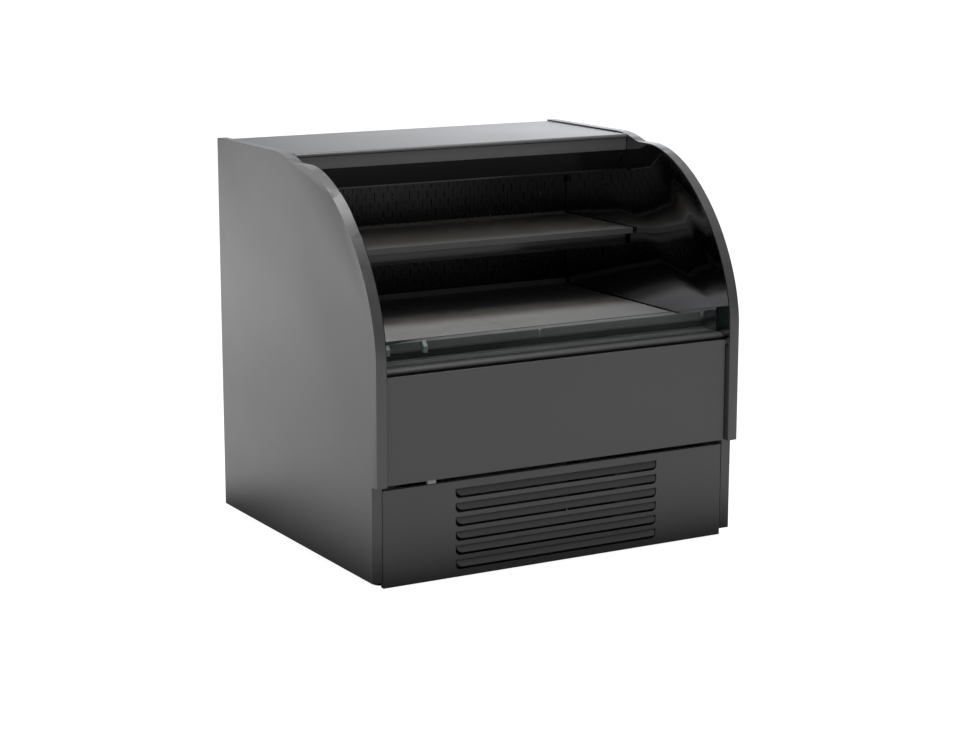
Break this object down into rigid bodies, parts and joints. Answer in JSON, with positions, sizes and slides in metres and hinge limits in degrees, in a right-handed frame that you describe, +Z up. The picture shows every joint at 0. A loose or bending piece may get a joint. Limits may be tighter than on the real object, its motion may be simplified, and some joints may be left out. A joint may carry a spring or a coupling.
{
  "type": "refrigerated deli case",
  "caption": "Open-front self-service refrigerated deli case with swept end panels, lit canopy, one shelf over a deck, low front glass and a louvred machine space underneath.",
  "frame": {"origin": "on the floor under the middle of the case", "axes": "+X to the right as a shopper faces the case, +Y from the open front to the back, +Z up"},
  "size_m": [0.99, 0.862, 0.9615],
  "materials": {
    "end_panel_charcoal": "satin charcoal",
    "charcoal_paint": "satin charcoal powder coat",
    "black_paint": "semi-gloss black",
    "mirror_black": "dark mirror",
    "galvanised": "galvanised sheet",
    "motor_steel": "satin",
    "aluminium_fins": "bare fins",
    "copper_pipe": "bare copper",
    "insulation": "foamed liner",
    "front_glass": "clear",
    "lamp_lens": "warm white lamp cover",
    "rubber": "matte",
    "black_plastic": "moulded",
    "gloss_black_plastic": "gloss black",
    "clip_plastic": "frosted clear",
    "compressor_black": "black enamel"
  },
  "bodies": {
    "case": {"left_end_panel": "end_panel_charcoal", "right_end_panel": "end_panel_charcoal", "left_end_liner": "mirror_black", "right_end_liner": "mirror_black", "top_panel": "charcoal_paint", "canopy_fascia": "charcoal_paint", "canopy_baffle": "black_paint", "canopy_light_housing": "gloss_black_plastic", "canopy_light_lens": "lamp_lens", "discharge_ceiling": "black_paint", "tub_floor": "insulation", "tub_front_wall": "insulation", "rear_insulated_wall": "insulation", "rear_panel": "charcoal_paint", "rear_vent_grille": "charcoal_paint", "back_wall_panel": "black_paint", "front_nose_rail": "charcoal_paint", "front_glass": "front_glass", "front_panel": "charcoal_paint", "deck_front_rail": "charcoal_paint", "deck_rear_rail": "galvanised", "fan_plenum": "galvanised", "left_fan_motor": "motor_steel", "right_fan_motor": "motor_steel", "evaporator_coil": "aluminium_fins", "left_base_rail": "galvanised", "right_base_rail": "galvanised", "front_cross_member": "galvanised", "rear_cross_member": "galvanised", "condensing_unit_tray": "galvanised", "condenser_coil": "aluminium_fins", "condenser_shroud": "black_paint", "condenser_fan_motor": "motor_steel", "compressor": "compressor_black", "filter_drier": "copper_pipe", "discharge_line": "copper_pipe", "suction_line": "copper_pipe", "condensate_pan": "black_plastic", "electrical_box": "galvanised", "power_inlet": "black_plastic"},
    "service_panel": {"service_panel": "charcoal_paint"},
    "return_air_grille": {"return_air_grille": "charcoal_paint"},
    "left_deck_tray": {"left_deck_tray": "charcoal_paint"},
    "right_deck_tray": {"right_deck_tray": "charcoal_paint"},
    "left_divider_clip": {"left_divider_clip": "clip_plastic"},
    "right_divider_clip": {"right_divider_clip": "clip_plastic"},
    "shelf_brackets": {"left_shelf_bracket": "black_paint", "right_shelf_bracket": "black_paint"},
    "shelf": {"shelf_pan": "charcoal_paint", "shelf_light_housing": "gloss_black_plastic", "shelf_light_lens": "lamp_lens"},
    "left_evaporator_fan": {"left_evaporator_fan": "black_plastic"},
    "right_evaporator_fan": {"right_evaporator_fan": "black_plastic"},
    "condenser_fan": {"condenser_fan": "black_plastic"},
    "power_switch": {"power_switch": "black_plastic"},
    "temperature_dial": {"temperature_dial": "black_plastic"},
    "left_front_foot": {"left_front_foot": "rubber"},
    "left_rear_foot": {"left_rear_foot": "rubber"},
    "right_front_foot": {"right_front_foot": "rubber"},
    "right_rear_foot": {"right_rear_foot": "rubber"}
  },
  "joints": [
    {"name": "service_panel_lift_off", "type": "slide", "parent": "case", "child": "service_panel", "axis": [0, -1, 0], "range_m": [0, 0.15]},
    {"name": "grille_lift_out", "type": "slide", "parent": "case", "child": "return_air_grille", "axis": [0, 0, 1], "range_m": [0, 0.06]},
    {"name": "left_tray_lift_out", "type": "slide", "parent": "case", "child": "left_deck_tray", "axis": [0, 0, 1], "range_m": [0, 0.06]},
    {"name": "right_tray_lift_out", "type": "slide", "parent": "case", "child": "right_deck_tray", "axis": [0, 0, 1], "range_m": [0, 0.06]},
    {"name": "left_clip_slide", "type": "slide", "parent": "left_deck_tray", "child": "left_divider_clip", "axis": [1, 0, 0], "range_m": [-0.04, 0.03]},
    {"name": "right_clip_slide", "type": "slide", "parent": "left_deck_tray", "child": "right_divider_clip", "axis": [1, 0, 0], "range_m": [-0.03, 0.25]},
    {"name": "shelf_height", "type": "slide", "parent": "case", "child": "shelf_brackets", "axis": [0, 0, 1], "range_m": [-0.0508, 0.0254]},
    {"name": "shelf_lift_off", "type": "slide", "parent": "shelf_brackets", "child": "shelf", "axis": [0, 0, 1], "range_m": [0, 0.03]},
    {"name": "left_evaporator_fan_spin", "type": "hinge", "parent": "case", "child": "left_evaporator_fan", "pos_m": [-0.18, -0.043, 0.375], "axis": [0, 1, 0], "continuous": true},
    {"name": "right_evaporator_fan_spin", "type": "hinge", "parent": "case", "child": "right_evaporator_fan", "pos_m": [0.18, -0.043, 0.375], "axis": [0, 1, 0], "continuous": true},
    {"name": "condenser_fan_spin", "type": "hinge", "parent": "case", "child": "condenser_fan", "pos_m": [-0.12, -0.241, 0.144], "axis": [0, 1, 0], "continuous": true},
    {"name": "power_switch_rock", "type": "hinge", "parent": "case", "child": "power_switch", "pos_m": [0.25, -0.3365, 0.16], "axis": [1, 0, 0], "range_deg": [0, 20]},
    {"name": "temperature_dial_turn", "type": "hinge", "parent": "case", "child": "temperature_dial", "pos_m": [0.34, -0.3403, 0.16], "axis": [0, 1, 0], "range_deg": [-135, 135]},
    {"name": "left_front_foot_turn", "type": "hinge", "parent": "case", "child": "left_front_foot", "pos_m": [-0.449, -0.35, 0], "axis": [0, 0, 1], "continuous": true},
    {"name": "left_rear_foot_turn", "type": "hinge", "parent": "case", "child": "left_rear_foot", "pos_m": [-0.449, 0.37, 0], "axis": [0, 0, 1], "continuous": true},
    {"name": "right_front_foot_turn", "type": "hinge", "parent": "case", "child": "right_front_foot", "pos_m": [0.449, -0.35, 0], "axis": [0, 0, 1], "continuous": true},
    {"name": "right_rear_foot_turn", "type": "hinge", "parent": "case", "child": "right_rear_foot", "pos_m": [0.449, 0.37, 0], "axis": [0, 0, 1], "continuous": true}
  ]
}
